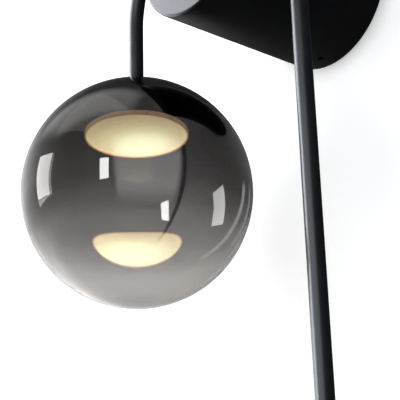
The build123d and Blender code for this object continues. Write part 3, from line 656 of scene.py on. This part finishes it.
# %% Screws on their places
OUT, UP, DOWN = Vector((0, -1, 0)), Vector((0, 0, 1)), Vector((0, 0, -1))
screw_kinds = {  # which way the head faces, head height and shank radius, finish
    "bracket_screws": (OUT, 2.0 * mm, 1.5 * mm, "zinc_steel"),
    "driver_screws": (UP, 2.0 * mm, 1.5 * mm, "zinc_steel"),
    "block_screws": (OUT, 1.5 * mm, 1.25 * mm, "zinc_steel"),
    "clip_screws": (UP, 2.0 * mm, 1.5 * mm, "zinc_steel"),
    "board_screws": (DOWN, 1.4 * mm, 1.25 * mm, "zinc_steel"),
    "earth_screw": (OUT, 2.5 * mm, 2.0 * mm, "brass"),
    "terminal_screws": (OUT, 1.2 * mm, 1.2 * mm, "brass"),
}
dome_share = 0.3  # how much of the head's height the dome takes
for kind, (facing, head_height, shank_radius, slot) in screw_kinds.items():
    boxes = solids_in(kind)
    extent = boxes[0][1] - boxes[0][0]
    length = abs(extent.dot(facing))
    points = [(low + high) / 2 + facing * (length / 2 - head_height) for low, high in boxes]
    screws = grow(kind + "_cut", screw_tree, slot, {
        "Head Radius": extent.x / 2,
        "Head Height": head_height,
        "Dome": dome_share * head_height,
        "Shank Radius": shank_radius,
        "Shank Length": length - head_height,
        "Turn": UP.rotation_difference(facing).to_euler(),
    }, points)
    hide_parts(kind)
    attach(screws, "root")
    print(kind, len(boxes), "faces", len(screws.data.polygons))

# %% [markdown]
# ## Light-emitting chips
#
# The chips stand on the board in three rings. Each real one is a small square package with a round
# drop of yellow phosphor. A tree makes one package, a block with a flattened ball on it, and puts a
# copy on each chip's place, hanging from the board.

# %% Chip tree
drop_share = 0.42  # the drop's radius, as a share of the package's side
chip_sizes = {"Side": 0.0, "Body Height": 0.0, "Drop Height": 0.0}
chip_tree, given = new_tree("chip_packages", chip_sizes)
body_size = add(chip_tree, "ShaderNodeCombineXYZ", {
    "X": given["Side"], "Y": given["Side"], "Z": given["Body Height"]})
body = add(chip_tree, "GeometryNodeMeshCube", {"Size": body_size})
middle = sum_of(chip_tree, "MULTIPLY", given["Body Height"], -0.5)
body_place = add(chip_tree, "ShaderNodeCombineXYZ", {"Z": middle})
body = add(chip_tree, "GeometryNodeTransform", {"Geometry": body, "Translation": body_place})
drop_radius = sum_of(chip_tree, "MULTIPLY", given["Side"], drop_share)
drop = add(chip_tree, "GeometryNodeMeshUVSphere", {"Segments": 12, "Rings": 6, "Radius": drop_radius})
flatness = sum_of(chip_tree, "DIVIDE", given["Drop Height"], drop_radius)
drop_scale = add(chip_tree, "ShaderNodeCombineXYZ", {"X": 1.0, "Y": 1.0, "Z": flatness})
underside = sum_of(chip_tree, "MULTIPLY", given["Body Height"], -1.0)
drop_place = add(chip_tree, "ShaderNodeCombineXYZ", {"Z": underside})
drop = add(chip_tree, "GeometryNodeTransform", {
    "Geometry": drop, "Translation": drop_place, "Scale": drop_scale})
chip = chip_tree.nodes.new("GeometryNodeJoinGeometry")
chip_tree.links.new(body, chip.inputs[0])
chip_tree.links.new(drop, chip.inputs[0])
chips = add(chip_tree, "GeometryNodeInstanceOnPoints", {
    "Points": given["Geometry"], "Instance": chip.outputs[0]})
end_tree(chip_tree, given, chips, smooth=False)
print("tree: chip_packages, nodes", len(chip_tree.nodes))

# %% Chips on their places
chip_boxes = solids_in("led_chips")
chip_extent = chip_boxes[0][1] - chip_boxes[0][0]
drop_height = 0.25 * mm
chips = grow("led_packages", chip_tree, "led_yellow", {
    "Side": chip_extent.x,
    "Body Height": chip_extent.z - drop_height,
    "Drop Height": drop_height,
}, [Vector(((low.x + high.x) / 2, (low.y + high.y) / 2, high.z)) for low, high in chip_boxes])
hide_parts("led_chips")
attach(chips, "root")
print("chips:", len(chip_boxes), "faces", len(chips.data.polygons))

# %% [markdown]
# ## The studio: wall and floor
#
# The lamp hangs on a white wall. Plain white paint would need very strong lamps to look white in
# the picture, and they would drown the lamp's own light. So the paint takes ordinary light, and a
# little is added only where the camera, a reflection or the glass looks at it. Shadows stay,
# because they are in the ordinary light. Where something stands close to the wall the added light
# fades, which paints a contact shadow there. Seen from behind, the wall is clear, so the camera can
# go round the lamp. A round hole in it, a little smaller than the canopy, lets daylight reach the
# back of the wall plate.

# %% Pale paint
def looked_at(tree):
    """1 for rays from the camera, from reflections and through glass, otherwise 0."""
    path = tree.nodes.new("ShaderNodeLightPath").outputs
    shiny = sum_of(tree, "MAXIMUM", path["Is Glossy Ray"], path["Is Transmission Ray"])
    return sum_of(tree, "MAXIMUM", path["Is Camera Ray"], shiny)


contact_reach = 14 * mm  # how far the painted contact shadow of a touching piece reaches


def pale_paint(name, colour, lift):
    """Pale matt paint, clear from behind. Looked at, it gains light, but less close to a piece,
    which paints a contact shadow there.
    """
    material = bpy.data.materials.new(name)
    material.use_nodes = True
    tree = material.node_tree
    tree.nodes.clear()
    paint = add(tree, "ShaderNodeBsdfDiffuse", {"Color": (*colour, 1)})
    # Ambient occlusion dims the added light near a piece: a painted contact shadow.
    painted_contact_shadow = add(tree, "ShaderNodeAmbientOcclusion", {"Distance": contact_reach}, out="AO")
    strength = sum_of(tree, "MULTIPLY", looked_at(tree), lift)
    strength = sum_of(tree, "MULTIPLY", strength, painted_contact_shadow)
    light = add(tree, "ShaderNodeEmission", {"Color": (1, 1, 1, 1), "Strength": strength})
    front = add(tree, "ShaderNodeAddShader", {0: paint, 1: light})
    behind = add(tree, "ShaderNodeNewGeometry", out="Backfacing")
    clear = add(tree, "ShaderNodeBsdfTransparent")
    both = add(tree, "ShaderNodeMixShader", {0: behind, 1: front, 2: clear})
    output = tree.nodes.new("ShaderNodeOutputMaterial")
    tree.links.new(both, output.inputs["Surface"])
    return material


print("paint ready")

# %% Wall and floor
def stage_sheet(name, corners, material, faces=None):
    """A flat sheet of the stage, which isn't part of the lamp. It has one face, or those given."""
    data = bpy.data.meshes.new(name)
    data.from_pydata(corners, [], faces or [tuple(range(len(corners)))])
    data.materials.append(material)
    sheet = bpy.data.objects.new(name, data)
    bpy.context.scene.collection.objects.link(sheet)
    return sheet


back = 0.2 * mm  # the wall stands just behind the canopy, so the two don't share a surface
wall_reach = 8.0
hole_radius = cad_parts["canopy_shell"].dimensions.x / 2 - 1.5 * mm
sides = 64
wall_corners = []
for reach in (hole_radius, wall_reach):
    turns = [2 * pi * side / sides for side in range(sides)]
    wall_corners += [(reach * cos(turn), back, reach * sin(turn)) for turn in turns]
wall_faces = []
for side in range(sides):
    after = (side + 1) % sides
    wall_faces.append((side, sides + side, sides + after, after))
stage_sheet("wall", wall_corners, pale_paint("wall_paint", (0.86, 0.86, 0.86), 0.60), wall_faces)

low, near, far = -1.6, -8.0, -20 * mm  # the floor stops just before the wall
floor_corners = [(-wall_reach, near, low), (wall_reach, near, low)]
floor_corners += [(wall_reach, far, low), (-wall_reach, far, low)]
stage_sheet("floor", floor_corners, pale_paint("floor_paint", (0.82, 0.82, 0.82), 0.56))
print("wall and floor ready, hole radius", round(hole_radius, 4))

# %% [markdown]
# ## The studio: soft light
#
# The sky is white where it is looked at, as in a white room. As light it is weaker. Two soft
# boxes light everything, one from the left and one from above. Shiny surfaces don't show them:
# their glare comes from sheets further down, which only reflections see, so that each has just the
# size, place and strength of a window in the picture.

# %% Sky
world = bpy.data.worlds.new("studio")
bpy.context.scene.world = world
world.use_nodes = True
sky = world.node_tree
sky.nodes.clear()
seen_sky = add(sky, "ShaderNodeBackground", {"Color": (1, 1, 1, 1), "Strength": 1.0})
lit_sky = add(sky, "ShaderNodeBackground", {"Color": (0.95, 0.97, 1.0, 1), "Strength": 0.62})
sky_mix = add(sky, "ShaderNodeMixShader", {0: looked_at(sky), 1: lit_sky, 2: seen_sky})
sky_output = sky.nodes.new("ShaderNodeOutputWorld")
sky.links.new(sky_mix, sky_output.inputs["Surface"])
print("sky ready")

# %% Soft boxes
def toward(azimuth, elevation):
    """A direction from the globe. Azimuth 0 is to the right, and -90 straight out of the wall."""
    turn, tilt = radians(azimuth), radians(elevation)
    return Vector((cos(tilt) * cos(turn), cos(tilt) * sin(turn), sin(tilt)))


def softbox(name, azimuth, elevation, distance, width, height, power):
    """A soft lamp that faces the globe. Shiny surfaces don't show it."""
    data = bpy.data.lights.new(name, "AREA")
    data.shape = "RECTANGLE"
    data.size, data.size_y = width, height
    data.energy = power
    lamp = bpy.data.objects.new(name, data)
    lamp.location = globe_centre + toward(azimuth, elevation) * distance
    lamp.rotation_euler = toward(azimuth, elevation).to_track_quat("Z", "Y").to_euler()
    lamp.visible_glossy = False
    bpy.context.scene.collection.objects.link(lamp)
    print("soft box:", name, [round(v, 2) for v in lamp.location])
    return lamp


softbox("left_softbox", -134.5, 13.5, 1.0, 0.4, 0.5, 3.5)
softbox("top_softbox", -110.0, 60.0, 1.3, 1.0, 0.8, 4.0)

# %% [markdown]
# ## The studio: light for the black pieces
#
# Black paint gives back almost no soft light, so its form shows only in its sheen. Four more soft
# boxes make that, so these are switched back on for shiny surfaces. Light linking keeps them off
# the glass and the wall. Two light the canopy, the tube and the tube's plug, both from the left.
# The other two light the tube alone, one from the front and one from the left.

# %% Soft boxes for the black pieces
black_pieces = bpy.data.collections.new("black_pieces")
for piece in (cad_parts["canopy_shell"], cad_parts["end_plug"], arm):
    black_pieces.objects.link(piece)
arm_pieces = bpy.data.collections.new("arm_pieces")
arm_pieces.objects.link(arm)
for lamp, pieces in ((softbox("sheen_softbox", -143.0, 40.0, 0.8, 0.5, 0.5, 10.0), black_pieces),
                     (softbox("edge_softbox", -168.0, 15.0, 0.8, 0.5, 0.9, 11.0), black_pieces),
                     (softbox("arm_softbox", -72.0, 8.0, 0.8, 1.0, 0.6, 19.0), arm_pieces),
                     (softbox("arm_edge_softbox", -133.0, 8.0, 0.8, 0.4, 0.6, 30.0), arm_pieces)):
    lamp.visible_glossy = True
    lamp.data.color = (0.90, 0.94, 1.0)
    lamp.light_linking.receiver_collection = pieces

# %% [markdown]
# ## The studio: dark cards
#
# On a white ground, a glass globe and a black tube would get pale rims, because a surface seen
# edge-on mirrors what is behind it. Photographers stand dark cards round such a subject. Here one
# large tent of cards stands round the lamp, and only reflections see it. It is brightest to the
# left, just above and just below the level of the globe, and nearly black straight above, straight
# below and to the right.

# %% Tent of cards that only reflections see
def only_reflected(sheet):
    """Hides a sheet from everything but reflections."""
    for kind in ("camera", "diffuse", "transmission", "shadow", "volume_scatter"):
        setattr(sheet, "visible_" + kind, False)


card_material = bpy.data.materials.new("cards")
card_material.use_nodes = True
card_tree = card_material.node_tree
card_tree.nodes.clear()
card_place = card_tree.nodes.new("ShaderNodeSeparateXYZ")
card_spot = add(card_tree, "ShaderNodeNewGeometry", out="Position")
from_globe = add(card_tree, "ShaderNodeVectorMath", {0: card_spot, 1: globe_centre},
                 operation="SUBTRACT")
way_there = add(card_tree, "ShaderNodeVectorMath", {0: from_globe}, operation="NORMALIZE")
card_tree.links.new(way_there, card_place.inputs[0])
by_height = ramp(card_tree, spread(card_tree, card_place.outputs["Z"], 0, 1, -1, 1), single(
    (-1.0, 0.08), (-0.8, 0.12), (-0.5, 0.40), (-0.3, 0.70), (0.0, 0.38), (0.15, 0.38),
    (0.3, 0.60), (0.5, 0.50), (0.6, 0.35), (0.8, 0.10), (1.0, 0.05)))
by_side = ramp(card_tree, spread(card_tree, card_place.outputs["X"], 0, 1, -1, 1), single(
    (-1.0, 1.0), (-0.8, 0.50), (-0.5, 0.27), (-0.3, 0.17), (0.0, 0.11), (0.5, 0.11),
    (0.8, 0.05), (1.0, 0.05)))
card_brightness = 2.9  # where both ramps are 1
card_strength = sum_of(card_tree, "MULTIPLY", by_side, card_brightness)
card_light = add(card_tree, "ShaderNodeEmission", {"Color": by_height, "Strength": card_strength})
card_output = card_tree.nodes.new("ShaderNodeOutputMaterial")
card_tree.links.new(card_light, card_output.inputs["Surface"])

left, right, bottom, top = -3.0, 3.0, -1.5, 3.0
front, rear = -3.0, -0.5 * mm  # the rear card hangs just before the wall
corners = [(x, y, z) for x in (left, right) for y in (front, rear) for z in (bottom, top)]
for name, corner_numbers in (("left", (0, 1, 3, 2)), ("right", (4, 6, 7, 5)), ("front", (0, 4, 5, 1)),
                             ("rear", (2, 3, 7, 6)), ("bottom", (0, 2, 6, 4)), ("top", (1, 5, 7, 3))):
    card_corners = [corners[number] for number in corner_numbers]
    only_reflected(stage_sheet("card_" + name, card_corners, card_material))
print("six cards stand round the lamp")

# %% [markdown]
# ## The studio: windows
#
# The windows hang inside the tent, where the photograph shows their glare. Each is a glowing sheet
# that only reflections see, and light linking lets only the glass show it. Some have hard edges.
# Others fade out, and add their light to what hangs behind them. Three helpers place them: by
# directions from the globe, on a plane that faces the globe, or on the wall.

# %% Window helpers
glass_pieces = bpy.data.collections.new("glass_pieces")
glass_pieces.objects.link(globe)


def window(name, corners, strength, soft=()):
    """A glowing sheet that only reflections in the glass show. Soft holds the shares of its width
    and height that fade out, and a sheet with soft edges adds to what is behind it."""
    material = bpy.data.materials.new(name)
    material.use_nodes = True
    tree = material.node_tree
    tree.nodes.clear()
    power = strength
    if soft:
        across = tree.nodes.new("ShaderNodeSeparateXYZ")
        tree.links.new(add(tree, "ShaderNodeUVMap"), across.inputs[0])
        for way, share in zip("XY", soft):
            other = sum_of(tree, "SUBTRACT", 1.0, across.outputs[way])
            edge = sum_of(tree, "MINIMUM", across.outputs[way], other)
            inputs = {"Value": edge, "From Max": share}
            fade = add(tree, "ShaderNodeMapRange", inputs, interpolation_type="SMOOTHSTEP")
            power = sum_of(tree, "MULTIPLY", fade, power)
    light = add(tree, "ShaderNodeEmission", {"Color": (1, 1, 1, 1), "Strength": power})
    if soft:
        light = add(tree, "ShaderNodeAddShader", {0: light, 1: add(tree, "ShaderNodeBsdfTransparent")})
    output = tree.nodes.new("ShaderNodeOutputMaterial")
    tree.links.new(light, output.inputs["Surface"])
    sheet = stage_sheet(name, corners, material)
    layer = sheet.data.uv_layers.new(name="UVMap")
    for loop, spot in zip(layer.data, ((0, 0), (1, 0), (1, 1), (0, 1))):
        loop.uv = spot
    only_reflected(sheet)
    sheet.light_linking.receiver_collection = glass_pieces


def facing_window(name, angles, strength, **look):
    """A window whose corners lie in given directions from the globe, a metre away."""
    window(name, [globe_centre + toward(*corner) for corner in angles], strength, **look)


def panel(name, azimuth, elevation, corners, strength, soft):
    """A soft sheet that faces the globe, a metre away. Its corners are given across and up."""
    facing = toward(azimuth, elevation)
    across = toward(azimuth + 90, 0)
    up = facing.cross(across)
    window(name, [globe_centre + facing + across * x + up * y for x, y in corners], strength, soft)


wall_gap = 3 * mm


def wall_sheet(name, spots, strength, soft=()):
    """A sheet that hangs before the wall. Its corners are given across and up, in millimetres."""
    window(name, [(x * mm, -wall_gap, z * mm) for x, z in spots], strength, soft)


print("window helpers ready")

# %% [markdown]
# ## The studio: where the windows hang
#
# Four windows with hard edges make the four sharp glares of the picture. Two of them stand a metre
# away, for the glares on the left half of the globe. The large glare on the right comes from a
# sheet on the wall. The small one beside it comes from a small sheet between the globe and the
# long leg, because the leg would hide a window further off. Two soft panels make the broad sheen
# in front and above. Two dim strips on the wall, behind the right half of the globe, make the two
# faint curved lines near its right edge.

# %% Windows in their places
facing_window("left_window", [(-143, 27), (-123, 27), (-124.5, -0.5), (-142.5, 3)], 7.5)
facing_window("left_small_window", [(-68.5, 13), (-60.5, 12.5), (-60.5, -5.5), (-69, -6)], 24.0)
facing_window("front_panel", [(-60, 34), (10, 34), (4, -30), (-56, -30)], 3.1, soft=(0.12, 0.35))
panel("high_panel", -140.0, 62.0, [(-0.62, -0.52), (0.35, -0.52), (0.90, 0.75), (-0.05, 0.75)],
      1.2, soft=(0.3, 0.2))
window("right_small_window", [(0.043, -0.145, -0.211), (0.049, -0.134, -0.204),
                              (0.032, -0.122, -0.233), (0.030, -0.135, -0.233)], 24.0)
wall_sheet("wall_window", [(100, -179), (61, -148), (14, -206), (42, -234)], 8.5)
wall_sheet("inner_slit", [(-20, -124), (-5, -124), (-15, -275), (-30, -275)], 1.6, (0.45, 0.1))
wall_sheet("outer_slit", [(-46, -120), (-31, -120), (-39, -205), (-54, -205)], 0.4, (0.45, 0.2))
print("windows ready")
